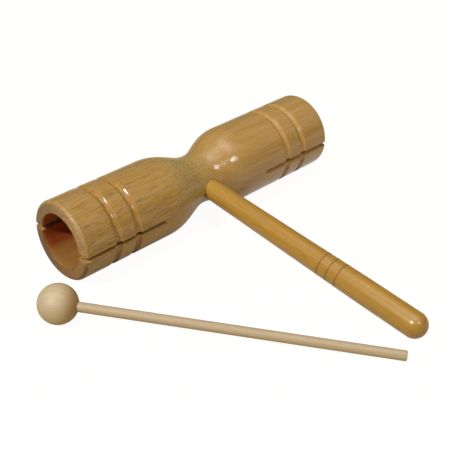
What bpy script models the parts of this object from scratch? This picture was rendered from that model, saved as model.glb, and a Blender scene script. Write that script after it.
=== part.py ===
"""Two-tone tubular woodblock with a handle, lying on a table beside its beater.

The block is turned from one billet: two tubes with blind chambers, a waist between them, two cove grooves
near each end, and a saw kerf through both walls at each end, near the plane of the handle. The handle is
glued into the waist, and its domed tip rests on the table. The beater is a wooden ball on a dowel.

Metres, +Z up. +X runs along the block, the handle points to -Y, and the origin is the middle of the
underside of the set's bounding box, on the table.
"""

import math

import bmesh
import bpy
from mathutils import Vector

# Tone block: overall turning
BLOCK_LENGTH = 0.1991
BLOCK_DIAMETER = 0.0485
END_EDGE_ROUND = 0.0026

# Tone block: waist, an ogee on each side of its narrowest point
WAIST_DIAMETER = 0.0313
WAIST_SHIFT = 0.0012
LOW_COVE_RADIUS = 0.0269
LOW_SHOULDER_RADIUS = 0.0408
LOW_FLANK_ANGLE = math.radians(22.5)
HIGH_COVE_RADIUS = 0.0221
HIGH_SHOULDER_RADIUS = 0.0322
HIGH_FLANK_ANGLE = math.radians(26.2)

# Tone block: cove grooves, measured from each end to the middle of the groove
OUTER_GROOVE_FROM_END = 0.0231
GROOVE_PITCH = 0.0144
GROOVE_WIDTH = 0.0048
GROOVE_DEPTH = 0.0012

# Tone block: chambers, whose floors stand at set distances from the waist and so give two notes
CHAMBER_DIAMETER = 0.0341
LOW_FLOOR_FROM_WAIST = 0.0290
HIGH_FLOOR_FROM_WAIST = 0.0395
MOUTH_EDGE_CHAMFER = 0.0006
DRILL_MARK_DIAMETER = 0.0040
DRILL_MARK_DEPTH = 0.0012

# Tone block: saw kerfs, whose plane is turned a little about the block's axis from the handle's
KERF_WIDTH = 0.0028
KERF_LENGTH = 0.0579
KERF_TURN = math.radians(-2.0)

# Handle, glued in a little off the waist's narrowest point and leaning a little to the low end
HANDLE_SHIFT = 0.0020
HANDLE_LEAN = math.radians(0.66)
HANDLE_REACH = 0.1788
NECK_DIAMETER = 0.0126
GRIP_DIAMETER = 0.0150
GRIP_LENGTH = 0.0440
TENON_DEPTH = 0.0200
TENON_CHAMFER = 0.0008
RING_COUNT = 3
RING_FROM_TIP = 0.0573
RING_PITCH = 0.0066
RING_WIDTH = 0.0010
RING_DEPTH = 0.0004

# Beater
BEATER_LENGTH = 0.1955
HEAD_DIAMETER = 0.0225
STICK_DIAMETER = 0.0056
STICK_HOLE_DEPTH = 0.0150
STICK_END_ROUND = 0.0006

# Where the beater lies: its ball past the block's low end, the stick's far end beside the grip
HEAD_PAST_BLOCK = 0.0140
HEAD_BESIDE_AXIS = 0.0309
STICK_END_TO_GRIP = 0.0079

# Fits: the glue line round each dowel, and how far a cutter runs past the wood
GLUE_GAP = 0.0003
CUT_MARGIN = 0.0050

# Finishes: linear colours and roughness
BLOCK_COLOUR = (0.36, 0.20, 0.06)
HANDLE_COLOUR = (0.53, 0.30, 0.09)
HEAD_COLOUR = (0.76, 0.60, 0.39)
STICK_COLOUR = (0.62, 0.44, 0.25)
VARNISH_ROUGHNESS = 0.25
BARE_WOOD_ROUGHNESS = 0.6

# Facets round each turned piece, and along each arc of an outline
BLOCK_SIDES = 64
HANDLE_SIDES = 32
HEAD_SIDES = 36
STICK_SIDES = 20
ARC_STEPS = 4
BALL_STEPS = 16
WELD_DISTANCE = 1e-7
SMOOTH_ANGLE = math.radians(40)

# Sizes that follow from the ones above
BLOCK_RADIUS = BLOCK_DIAMETER / 2
WAIST_RADIUS = WAIST_DIAMETER / 2
CHAMBER_RADIUS = CHAMBER_DIAMETER / 2
NECK_RADIUS = NECK_DIAMETER / 2
GRIP_RADIUS = GRIP_DIAMETER / 2
HEAD_RADIUS = HEAD_DIAMETER / 2
STICK_RADIUS = STICK_DIAMETER / 2
HANDLE_X = WAIST_SHIFT + HANDLE_SHIFT
BORE_FLOOR = WAIST_RADIUS - TENON_DEPTH


def clear_scene():
    for old in list(bpy.data.objects):
        bpy.data.objects.remove(old, do_unlink=True)


def wood(name, colour, roughness):
    """A wood finish: linear base colour and roughness."""
    material = bpy.data.materials.new(name)
    material.use_nodes = True
    shader = material.node_tree.nodes["Principled BSDF"]
    shader.inputs["Base Color"].default_value = (*colour, 1.0)
    shader.inputs["Roughness"].default_value = roughness
    shader.inputs["Metallic"].default_value = 0.0
    return material


def empty(name, parent=None, location=(0.0, 0.0, 0.0), rotation=(0.0, 0.0, 0.0)):
    """A frame that pieces are parented to."""
    frame = bpy.data.objects.new(name, None)
    bpy.context.scene.collection.objects.link(frame)
    frame.parent = parent
    frame.location = location
    frame.rotation_euler = rotation
    return frame


def add_object(name, shape, parent, material=None):
    """Give a bmesh its object, smooth over its round faces, under a parent frame."""
    bmesh.ops.remove_doubles(shape, verts=shape.verts[:], dist=WELD_DISTANCE)
    bmesh.ops.recalc_face_normals(shape, faces=shape.faces[:])
    mesh = bpy.data.meshes.new(name)
    shape.to_mesh(mesh)
    shape.free()
    mesh.shade_smooth()
    mesh.set_sharp_from_angle(angle=SMOOTH_ANGLE)
    if material:
        mesh.materials.append(material)
    piece = bpy.data.objects.new(name, mesh)
    bpy.context.scene.collection.objects.link(piece)
    piece.parent = parent
    return piece


def arc(centre, radius, start, end, steps=ARC_STEPS):
    """Points of an arc in the plane of (distance along the axis, radius), both ends included."""
    angles = [start + (end - start) * step / steps for step in range(steps + 1)]
    return [(centre[0] + radius * math.cos(a), centre[1] + radius * math.sin(a)) for a in angles]


def turned(name, outline, sides, parent, material=None):
    """A lathe piece: an outline of (x, radius) points, closed on the axis, spun about X."""
    shape = bmesh.new()
    points = [shape.verts.new((x, radius, 0.0)) for x, radius in outline]
    edges = [shape.edges.new(pair) for pair in zip(points, points[1:])]
    bmesh.ops.spin(
        shape,
        geom=points + edges,
        cent=(0.0, 0.0, 0.0),
        axis=(1.0, 0.0, 0.0),
        angle=2 * math.pi,
        steps=sides,
        use_merge=True,
    )
    return add_object(name, shape, parent, material)


def waist_side(cove_radius, shoulder_radius, flank_angle):
    """One side of the waist, as (distance from its narrowest point, radius).

    It is a cove, a straight flank and a shoulder. Both arcs shrink alike where the drop from the tube to
    the waist is too shallow for them.
    """
    drop = BLOCK_RADIUS - WAIST_RADIUS
    arcs_height = (cove_radius + shoulder_radius) * (1 - math.cos(flank_angle))
    shrink = min(1.0, drop / arcs_height)
    cove = cove_radius * shrink
    shoulder = shoulder_radius * shrink
    flank_height = drop - arcs_height * shrink
    shoulder_x = (cove + shoulder) * math.sin(flank_angle) + flank_height / math.tan(flank_angle)
    rise = arc((0.0, WAIST_RADIUS + cove), cove, -math.pi / 2, flank_angle - math.pi / 2)
    crest = arc((shoulder_x, BLOCK_RADIUS - shoulder), shoulder, flank_angle + math.pi / 2, math.pi / 2)
    return rise + crest


def groove(middle):
    """A cove groove in the tube: the arc that has its width and depth."""
    radius = (GROOVE_WIDTH**2 / 4 + GROOVE_DEPTH**2) / (2 * GROOVE_DEPTH)
    half_angle = math.asin(GROOVE_WIDTH / 2 / radius)
    centre = (middle, BLOCK_RADIUS - GROOVE_DEPTH + radius)
    return arc(centre, radius, -math.pi / 2 - half_angle, -math.pi / 2 + half_angle)


def block_end(floor_from_waist, waist_x):
    """One end of the block from its chamber floor out over the rim to its inner groove, as (x, radius).

    The end faces -X, and the waist stands at waist_x.
    """
    end_x = -BLOCK_LENGTH / 2
    floor_x = waist_x - floor_from_waist
    wall = BLOCK_RADIUS - CHAMBER_RADIUS
    edge = min(END_EDGE_ROUND, wall / 2)
    chamfer = min(MOUTH_EDGE_CHAMFER, wall / 4)
    chamber = [
        (floor_x + DRILL_MARK_DEPTH, 0.0),
        (floor_x, DRILL_MARK_DIAMETER / 2),
        (floor_x, CHAMBER_RADIUS),
        (end_x + chamfer, CHAMBER_RADIUS),
        (end_x, CHAMBER_RADIUS + chamfer),
    ]
    rim = arc((end_x + edge, BLOCK_RADIUS - edge), edge, math.pi, math.pi / 2)
    outer_groove = groove(end_x + OUTER_GROOVE_FROM_END)
    inner_groove = groove(end_x + OUTER_GROOVE_FROM_END + GROOVE_PITCH)
    return chamber + rim + outer_groove + inner_groove


def mirrored(outline):
    """An outline turned end for end."""
    return [(-x, radius) for x, radius in reversed(outline)]


def block_outline():
    """The block's whole turned outline, from one chamber floor to the other."""
    low_side = waist_side(LOW_COVE_RADIUS, LOW_SHOULDER_RADIUS, LOW_FLANK_ANGLE)
    high_side = waist_side(HIGH_COVE_RADIUS, HIGH_SHOULDER_RADIUS, HIGH_FLANK_ANGLE)
    waist = mirrored(low_side) + high_side[1:]
    low_end = block_end(LOW_FLOOR_FROM_WAIST, WAIST_SHIFT)
    high_end = mirrored(block_end(HIGH_FLOOR_FROM_WAIST, -WAIST_SHIFT))
    return low_end + [(WAIST_SHIFT + x, radius) for x, radius in waist] + high_end


def cut_away(piece, cutter):
    """Subtract a hidden cutter from a piece."""
    cutter.hide_render = True
    cutter.display_type = "WIRE"
    cut = piece.modifiers.new(cutter.name, "BOOLEAN")
    cut.operation = "DIFFERENCE"
    cut.solver = "EXACT"
    cut.object = cutter


def kerf_cutter(name, parent, turn):
    """A saw kerf's slab across the whole tube, with a round inner end.

    Before its turn it cuts the -X end.
    """
    half = KERF_WIDTH / 2
    reach = BLOCK_RADIUS + CUT_MARGIN
    open_x = -BLOCK_LENGTH / 2 - CUT_MARGIN
    round_x = -BLOCK_LENGTH / 2 + KERF_LENGTH - half
    outline = [(open_x, half), (open_x, -half)]
    outline += arc((round_x, 0.0), half, -math.pi / 2, math.pi / 2, 2 * ARC_STEPS)
    shape = bmesh.new()
    side = shape.faces.new([shape.verts.new((x, -reach, z)) for x, z in outline])
    grown = bmesh.ops.extrude_face_region(shape, geom=[side])["geom"]
    moved = [item for item in grown if isinstance(item, bmesh.types.BMVert)]
    bmesh.ops.translate(shape, verts=moved, vec=(0.0, 2 * reach, 0.0))
    cutter = add_object(name, shape, parent)
    cutter.rotation_euler = (0.0, 0.0, turn)
    return cutter


def aim_as_handle(piece):
    """Turn a piece spun about X so that it stands out of the waist towards -Y, with the handle's lean."""
    piece.location = (HANDLE_X, 0.0, 0.0)
    piece.rotation_euler = (0.0, 0.0, -math.pi / 2 - HANDLE_LEAN)


def make_tone_block(frame):
    finish = wood("block_varnish", BLOCK_COLOUR, VARNISH_ROUGHNESS)
    block = turned("tone_block", block_outline(), BLOCK_SIDES, frame, finish)
    bore_radius = NECK_RADIUS + GLUE_GAP
    bore_mouth = BLOCK_RADIUS + CUT_MARGIN
    bore = [(BORE_FLOOR, 0.0), (BORE_FLOOR, bore_radius), (bore_mouth, bore_radius), (bore_mouth, 0.0)]
    bore_cutter = turned("handle_bore", bore, HANDLE_SIDES, frame)
    aim_as_handle(bore_cutter)
    cut_away(block, bore_cutter)
    kerf_frame = empty("kerf_frame", frame, rotation=(KERF_TURN, 0.0, 0.0))
    cut_away(block, kerf_cutter("low_kerf", kerf_frame, 0.0))
    cut_away(block, kerf_cutter("high_kerf", kerf_frame, math.pi))
    return block


def shaft_radius(distance):
    """The handle's radius at a distance from the block's axis: a taper from the neck to the grip."""
    taper_end = HANDLE_REACH - GRIP_LENGTH
    share = (distance - WAIST_RADIUS) / (taper_end - WAIST_RADIUS)
    return NECK_RADIUS + (GRIP_RADIUS - NECK_RADIUS) * min(max(share, 0.0), 1.0)


def handle_outline():
    """The handle from its tenon's end to its domed tip, as (distance from the block's axis, radius)."""
    tenon_end = BORE_FLOOR + GLUE_GAP
    tenon = [
        (tenon_end, 0.0),
        (tenon_end, NECK_RADIUS - TENON_CHAMFER),
        (tenon_end + TENON_CHAMFER, NECK_RADIUS),
    ]
    shaft = [(end, shaft_radius(end)) for end in (WAIST_RADIUS, HANDLE_REACH - GRIP_LENGTH)]
    for count in range(RING_COUNT):
        middle = HANDLE_REACH - RING_FROM_TIP - count * RING_PITCH
        for offset, depth in ((-RING_WIDTH / 2, 0.0), (0.0, RING_DEPTH), (RING_WIDTH / 2, 0.0)):
            shaft.append((middle + offset, shaft_radius(middle + offset) - depth))
    dome = arc((HANDLE_REACH - GRIP_RADIUS, 0.0), GRIP_RADIUS, math.pi / 2, 0.0, 2 * ARC_STEPS)
    return tenon + sorted(shaft) + dome[:-1] + [(HANDLE_REACH, 0.0)]


def make_handle(frame):
    finish = wood("handle_varnish", HANDLE_COLOUR, VARNISH_ROUGHNESS)
    handle = turned("handle", handle_outline(), HANDLE_SIDES, frame, finish)
    aim_as_handle(handle)
    return handle


def make_beater_head(frame):
    """The ball round its own centre, with the stick's hole on the +X side."""
    hole_radius = STICK_RADIUS + GLUE_GAP
    floor_x = HEAD_RADIUS - STICK_HOLE_DEPTH
    mouth = math.asin(hole_radius / HEAD_RADIUS)
    ball = arc((0.0, 0.0), HEAD_RADIUS, mouth, math.pi, BALL_STEPS)
    outline = [(floor_x, 0.0), (floor_x, hole_radius)] + ball[:-1] + [(-HEAD_RADIUS, 0.0)]
    finish = wood("head_bare_wood", HEAD_COLOUR, BARE_WOOD_ROUGHNESS)
    return turned("beater_head", outline, HEAD_SIDES, frame, finish)


def make_beater_stick(frame):
    """The dowel from the bottom of the ball's hole to its eased far end."""
    inner_x = HEAD_RADIUS - STICK_HOLE_DEPTH + GLUE_GAP
    outer_x = BEATER_LENGTH - HEAD_RADIUS
    end_centre = (outer_x - STICK_END_ROUND, STICK_RADIUS - STICK_END_ROUND)
    end = arc(end_centre, STICK_END_ROUND, math.pi / 2, 0.0)
    outline = [(inner_x, 0.0), (inner_x, STICK_RADIUS)] + end + [(outer_x, 0.0)]
    finish = wood("stick_bare_wood", STICK_COLOUR, BARE_WOOD_ROUGHNESS)
    return turned("beater_stick", outline, STICK_SIDES, frame, finish)


def block_frame(table):
    """The block's own frame.

    Its axis is a tube radius above the table, and it is tilted until the handle's dome lies on the table.
    """
    dome_y = (HANDLE_REACH - GRIP_RADIUS) * math.cos(HANDLE_LEAN)
    tilt = math.asin((BLOCK_RADIUS - GRIP_RADIUS) / dome_y)
    return empty("block_frame", table, (0.0, 0.0, BLOCK_RADIUS), (tilt, 0.0, 0.0))


def beater_frame(table):
    """The beater's own frame.

    It stands in the middle of the ball, with +X along the stick, whose end lies on the table.
    """
    head = Vector((-BLOCK_LENGTH / 2 - HEAD_PAST_BLOCK - HEAD_RADIUS, -HEAD_BESIDE_AXIS, HEAD_RADIUS))
    reach = BEATER_LENGTH - HEAD_RADIUS
    slope = math.asin(HEAD_RADIUS / math.hypot(reach, STICK_RADIUS)) - math.atan2(STICK_RADIUS, reach)
    tip_x = HANDLE_X - HANDLE_REACH * math.sin(HANDLE_LEAN)
    stick_end_x = tip_x - GRIP_RADIUS - STICK_END_TO_GRIP - STICK_RADIUS
    heading = -math.acos((stick_end_x - head.x) / (reach * math.cos(slope)))
    return empty("beater_frame", table, head, (0.0, slope, heading))


def centre_over_origin(table, pieces):
    """Move the whole set so that the middle of its bounding box's underside is the origin."""
    bpy.context.view_layer.update()
    corners = [piece.matrix_world @ vertex.co for piece in pieces for vertex in piece.data.vertices]
    low = [min(corner[axis] for corner in corners) for axis in range(3)]
    high = [max(corner[axis] for corner in corners) for axis in range(3)]
    table.location = (-(low[0] + high[0]) / 2, -(low[1] + high[1]) / 2, -low[2])
    bpy.context.view_layer.update()


def main():
    clear_scene()
    table = empty("woodblock_set")
    block = block_frame(table)
    beater = beater_frame(table)
    pieces = [
        make_tone_block(block),
        make_handle(block),
        make_beater_head(beater),
        make_beater_stick(beater),
    ]
    centre_over_origin(table, pieces)


main()
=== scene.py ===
"""Looks for the tubular woodblock and its beater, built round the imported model.

Every piece is a turned surface, worked out as whole arrays in the piece's own frame: +X runs along the
piece, and so does the grain of its wood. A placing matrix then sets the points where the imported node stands.
Sizes are in metres, and in millimetres inside the finishes.
"""

import logging
import math
from dataclasses import dataclass
from enum import Enum
from typing import ClassVar

import bmesh
import bpy
import numpy as np
from mathutils import Matrix, Vector


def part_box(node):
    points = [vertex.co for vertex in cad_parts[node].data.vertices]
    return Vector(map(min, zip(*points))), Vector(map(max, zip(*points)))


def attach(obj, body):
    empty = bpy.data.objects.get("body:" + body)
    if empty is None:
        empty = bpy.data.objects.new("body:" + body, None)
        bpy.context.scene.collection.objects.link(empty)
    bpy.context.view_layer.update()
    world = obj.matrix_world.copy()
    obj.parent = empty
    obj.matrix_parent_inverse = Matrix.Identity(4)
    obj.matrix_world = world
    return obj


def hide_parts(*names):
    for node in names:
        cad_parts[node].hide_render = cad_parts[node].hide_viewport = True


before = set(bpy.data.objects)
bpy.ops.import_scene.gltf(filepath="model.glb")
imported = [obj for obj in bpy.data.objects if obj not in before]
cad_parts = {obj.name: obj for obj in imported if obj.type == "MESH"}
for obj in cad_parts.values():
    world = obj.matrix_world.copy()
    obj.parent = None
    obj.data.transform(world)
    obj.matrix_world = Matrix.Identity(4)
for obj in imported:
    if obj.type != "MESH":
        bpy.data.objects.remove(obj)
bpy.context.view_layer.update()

LOG = logging.getLogger("woodblock")

Array = np.ndarray
Span = tuple[float, float]
Triple = tuple[float, float, float]
Colour = Triple
Socket = bpy.types.NodeSocket
Value = float | tuple | Socket

WELD_DISTANCE = 1e-6
SHARP_ANGLE = math.radians(50)
QUARTER_TURN = math.pi / 2
MILLIMETRES = 1000.0
NO_RADIUS = 1e-9
NOISE_MIDDLE = 0.5
WHITE = (1.0, 1.0, 1.0)


class Body(Enum):
    """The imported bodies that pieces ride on."""

    WOODBLOCK = "woodblock"
    BEATER = "beater"


class Slot(Enum):
    """The pieces' material slots."""

    BLOCK = "block_wood"
    HANDLE = "handle_wood"
    HEAD = "head_wood"
    STICK = "stick_wood"


class Mark(Enum):
    """Values that a piece carries at its points for its finish to read."""

    # Painted shade in the chambers, deepening inwards; the chambers are bare wood there too.
    CHAMBER_SHADE = "chamber"
    LOW = "low"
    SAWN = "sawn_and_lit"
    GROOVE = "groove"
    END_GRAIN = "end_grain"
    FLANK = "flank"
    RUN_OUT = "run_out"
    # The handle's burnt lines, and painted shade deep in the kerfs.
    BURN_AND_KERF_SHADE = "burn"
    # The ball's side round the stick's hole, painted browner, partly as shade.
    HOLE_SIDE = "hole_side_share"


class Blend(Enum):
    """How one colour goes over another."""

    MIX = "MIX"
    MULTIPLY = "MULTIPLY"


@dataclass
class Skin:
    """A surface as arrays: points, four-cornered faces, and marks at the points."""

    points: Array
    faces: Array
    marks: dict[Mark, Array]

    @staticmethod
    def joined(skins: list["Skin"]) -> "Skin":
        """Put several surfaces into one list of points and faces.

        Args:
            skins: Surfaces that carry the same marks.

        Returns:
            One surface, with each part's face corners counted on from the points before it.
        """
        starts = np.cumsum([0] + [len(skin.points) for skin in skins[:-1]])
        points = np.concatenate([skin.points for skin in skins])
        faces = np.concatenate([skin.faces + start for skin, start in zip(skins, starts)])
        marks = {mark: np.concatenate([skin.marks[mark] for skin in skins]) for mark in skins[0].marks}
        return Skin(points, faces, marks)

    def placed(self, place: Matrix) -> "Skin":
        """The same surface moved by a matrix."""
        turn = np.array(place.to_3x3())
        return Skin(self.points @ turn.T + np.array(place.translation), self.faces, self.marks)

    def to_object(self, name: str) -> bpy.types.Object:
        """Make the surface a mesh object with its seams and poles welded and its faces outwards.

        Args:
            name: The piece's name.

        Returns:
            The new object, at the origin, with its place in its mesh.
        """
        mesh = bpy.data.meshes.new(name)
        mesh.from_pydata(self.points, [], self.faces)
        for mark, values in self.marks.items():
            layer = mesh.attributes.new(mark.value, "FLOAT", "POINT")
            layer.data.foreach_set("value", values.astype(np.float32))
        shape = bmesh.new()
        shape.from_mesh(mesh)
        bmesh.ops.remove_doubles(shape, verts=shape.verts[:], dist=WELD_DISTANCE)
        bmesh.ops.recalc_face_normals(shape, faces=shape.faces[:])
        shape.to_mesh(mesh)
        shape.free()
        mesh.shade_smooth()
        mesh.set_sharp_from_angle(angle=SHARP_ANGLE)
        piece = bpy.data.objects.new(name, mesh)
        bpy.context.scene.collection.objects.link(piece)
        return piece


def grid(points: Array, marks: dict[Mark, Array], closed: bool = False) -> Skin:
    """Join a grid of points into faces between neighbouring rows and columns.

    Args:
        points: Grid of shape (rows, columns, 3).
        marks: Values that fit the grid's shape (rows, columns).
        closed: Whether the last column joins the first.

    Returns:
        The surface.
    """
    rows, columns = points.shape[:2]
    index = np.arange(rows * columns).reshape(rows, columns)
    if closed:
        index = np.concatenate([index, index[:, :1]], axis=1)
    corners = [index[:-1, :-1], index[1:, :-1], index[1:, 1:], index[:-1, 1:]]
    spread = {mark: np.broadcast_to(value, (rows, columns)).ravel() for mark, value in marks.items()}
    return Skin(points.reshape(-1, 3), np.stack(corners, axis=-1).reshape(-1, 4), spread)


def ruled(first: Array, second: Array, steps: int, marks: dict[Mark, float]) -> Skin:
    """A straight-ruled surface: point (i, j) is first_i (1 - t_j) + second_i t_j, with t from 0 to 1.

    Args:
        first: Points of one edge, of shape (count, 3).
        second: The matching points of the other edge.
        steps: Faces from edge to edge.
        marks: The value of each mark all over.

    Returns:
        The surface.
    """
    share = np.linspace(0.0, 1.0, steps + 1)[None, :, None]
    return grid(first[:, None] * (1 - share) + second[:, None] * share, marks)


def spun(outline: Array, sides: int, marks: dict[Mark, Array]) -> Skin:
    """Spin an outline about X: point (i, j) is (along_i, radius_i cos a_j, radius_i sin a_j).

    The angle a_j is 2 pi j / sides.

    Args:
        outline: Points (along, radius) from one pole to the other, of shape (count, 2).
        sides: Steps round the axis.
        marks: Values at the outline's points.

    Returns:
        The closed surface.
    """
    angle = np.linspace(0.0, 2 * math.pi, sides, endpoint=False)
    along = np.repeat(outline[:, :1], sides, axis=1)
    across = outline[:, 1:] * np.cos(angle)
    up = outline[:, 1:] * np.sin(angle)
    round_marks = {mark: values[:, None] for mark, values in marks.items()}
    return grid(np.stack([along, across, up], axis=-1), round_marks, closed=True)


def arc(centre: tuple[float, float], radius: float, start: float, end: float, count: int) -> Array:
    """Points (along, radius) of a circular arc between two angles, both ends included."""
    angle = np.linspace(start, end, count)
    return np.stack([centre[0] + radius * np.cos(angle), centre[1] + radius * np.sin(angle)], axis=-1)


def smooth_step(value: Array, span: Span) -> Array:
    """Rise from 0 at the span's start to 1 at its end as 3 t^2 - 2 t^3."""
    share = np.clip((value - span[0]) / (span[1] - span[0]), 0.0, 1.0)
    return share * share * (3 - 2 * share)


def opening(past: Array, half: float, lip: float, steps: int) -> tuple[Array, Array]:
    """Half height of a round-ended opening and the depth of its rounded lip, on rows that spread outwards.

    The rows' insets from the wall are lip (1 - cos a), with a from 0 to a quarter turn. Past the middle of
    the round end the half height is the circle sqrt((half + inset)^2 - past^2). The lip is a quarter round,
    so at an inset its depth is lip - sqrt(lip^2 - (lip - inset)^2). Beyond the round end a row falls on the
    middle line, with the inset that it has there.

    Args:
        past: Distance of each outline point past the middle of the round end, 0 where the sides are straight.
        half: Half the opening's width.
        lip: Radius of the rounded lip.
        steps: Faces across the lip.

    Returns:
        Half heights and depths, of shape (rows, points).
    """
    inset = (1 - np.cos(np.linspace(0.0, QUARTER_TURN, steps + 1))) * lip
    spread = np.clip(np.maximum(inset[:, None], past - half), 0.0, lip)
    height = np.sqrt(np.maximum((half + spread) ** 2 - past**2, 0.0))
    depth = lip - np.sqrt(np.maximum(lip**2 - (lip - spread) ** 2, 0.0))
    return height, depth


@dataclass(frozen=True)
class Noise:
    """A noise: how many cells it has to a unit along the grain and across it, and how finely it breaks up."""

    along: float
    across: float
    detail: float
    roughness: float = 0.5


@dataclass(frozen=True)
class Specks:
    """Specks where a noise passes a limit: the values at which they start and are full."""

    noise: Noise
    limit: Span


@dataclass(frozen=True)
class Tint:
    """A colour to lay on, how much of it at most, and how."""

    colour: Colour
    share: float = 1.0
    blend: Blend = Blend.MIX


class Bench:
    """Adds nodes to one tree and joins them."""

    def __init__(self, tree: bpy.types.NodeTree) -> None:
        """Take the tree to work in."""
        self.tree = tree

    def feed(self, socket: Socket, value: Value) -> None:
        """Link a socket to another, or set its value.

        Args:
            socket: The input to feed.
            value: A socket, a number, or three numbers, to which a colour's alpha of 1 is added.
        """
        if isinstance(value, Socket):
            self.tree.links.new(value, socket)
        elif socket.type == "RGBA":
            socket.default_value = (*value, 1.0)
        else:
            socket.default_value = value

    def add(
        self, kind: str, inputs: dict[str | int, Value] | None = None, **settings: object
    ) -> bpy.types.Node:
        """Add a node.

        Args:
            kind: The node's Blender type.
            inputs: Values or sockets for its inputs, by name or index.
            **settings: Values for the node's own properties.

        Returns:
            The node.
        """
        node = self.tree.nodes.new(kind)
        for name, value in settings.items():
            setattr(node, name, value)
        for key, value in (inputs or {}).items():
            self.feed(node.inputs[key], value)
        return node

    def math(self, operation: str, *values: Value) -> Socket:
        """A Math node's result."""
        return self.add("ShaderNodeMath", dict(enumerate(values)), operation=operation).outputs[0]

    def times(self, first: Value, second: Value) -> Socket:
        """The product of two values."""
        return self.math("MULTIPLY", first, second)

    def total(self, base: Value, *products: tuple[Value, Value]) -> Value:
        """A value with the products of some pairs added.

        Args:
            base: The value to start from.
            *products: The pairs.

        Returns:
            The sum.
        """
        for first, second in products:
            base = self.math("MULTIPLY_ADD", first, second, base)
        return base

    def vector(self, operation: str, *values: Value) -> Socket:
        """A Vector Math node's vector."""
        return self.add("ShaderNodeVectorMath", dict(enumerate(values)), operation=operation).outputs[0]

    def axes(self, vector: Value) -> bpy.types.NodeOutputs:
        """A vector's X, Y and Z."""
        return self.add("ShaderNodeSeparateXYZ", {0: vector}).outputs

    def noise(self, vector: Value, noise: Noise, output: str = "Fac") -> Socket:
        """A noise drawn out along X.

        Args:
            vector: Where to read it.
            noise: Its scale and fineness.
            output: The output to use, a value or a colour.

        Returns:
            The output's socket.
        """
        scaled = self.vector("MULTIPLY", vector, (noise.along, noise.across, noise.across))
        values = {"Vector": scaled, "Scale": 1.0, "Detail": noise.detail, "Roughness": noise.roughness}
        return self.add("ShaderNodeTexNoise", values).outputs[output]

    def swing(self, vector: Value, noise: Noise) -> Socket:
        """A noise about 0."""
        return self.math("SUBTRACT", self.noise(vector, noise), NOISE_MIDDLE)

    def specks(self, vector: Value, specks: Specks) -> Socket:
        """A mask, 1 inside the specks."""
        return self.ramp(self.noise(vector, specks.noise), specks.limit)

    def ramp(self, value: Value, span: Span) -> Socket:
        """A smooth rise from 0 at the span's start to 1 at its end, whichever of them is the higher."""
        values = {"Value": value, "From Min": span[0], "From Max": span[1]}
        return self.add("ShaderNodeMapRange", values, interpolation_type="SMOOTHSTEP").outputs[0]

    def mix(self, share: Value, first: Value, second: Value, blend: Blend = Blend.MIX) -> Socket:
        """A blend of two colours."""
        inputs = {0: share, 6: first, 7: second}
        return self.add("ShaderNodeMix", inputs, data_type="RGBA", blend_type=blend.value).outputs[2]

    def laid(self, tint: Tint, mask: Value, colour: Value) -> Socket:
        """A colour with a tint laid over it where a mask is 1."""
        share = mask if tint.share == 1.0 else self.times(mask, tint.share)
        return self.mix(share, colour, tint.colour, tint.blend)

    def mark(self, mark: Mark) -> Socket:
        """A mark that the piece carries at its points."""
        return self.add("ShaderNodeAttribute", attribute_name=mark.value).outputs["Fac"]


class NodeGroup:
    """A shader node group with named inputs and outputs, built once."""

    name: ClassVar[str]
    inputs: ClassVar[dict[str, str]]
    outputs: ClassVar[dict[str, str]]

    def tree(self) -> bpy.types.NodeTree:
        """The group's tree, built at its first use.

        Returns:
            The tree.
        """
        made = bpy.data.node_groups.get(self.name)
        if made:
            return made
        tree = bpy.data.node_groups.new(self.name, "ShaderNodeTree")
        for side, sockets in (("INPUT", self.inputs), ("OUTPUT", self.outputs)):
            for name, kind in sockets.items():
                tree.interface.new_socket(name=name, in_out=side, socket_type="NodeSocket" + kind)
        bench = Bench(tree)
        given = bench.add("NodeGroupInput").outputs
        bench.add("NodeGroupOutput", self.results(bench, given))
        return tree

    def results(self, bench: Bench, given: bpy.types.NodeOutputs) -> dict[str, Value]:
        """Lay the nodes that make the outputs from the inputs."""
        raise NotImplementedError

    def placed(self, bench: Bench, inputs: dict[str, Value]) -> bpy.types.NodeOutputs:
        """Put the group into a material, with values or sockets for its inputs."""
        return bench.add("ShaderNodeGroup", inputs, node_tree=self.tree()).outputs


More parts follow.
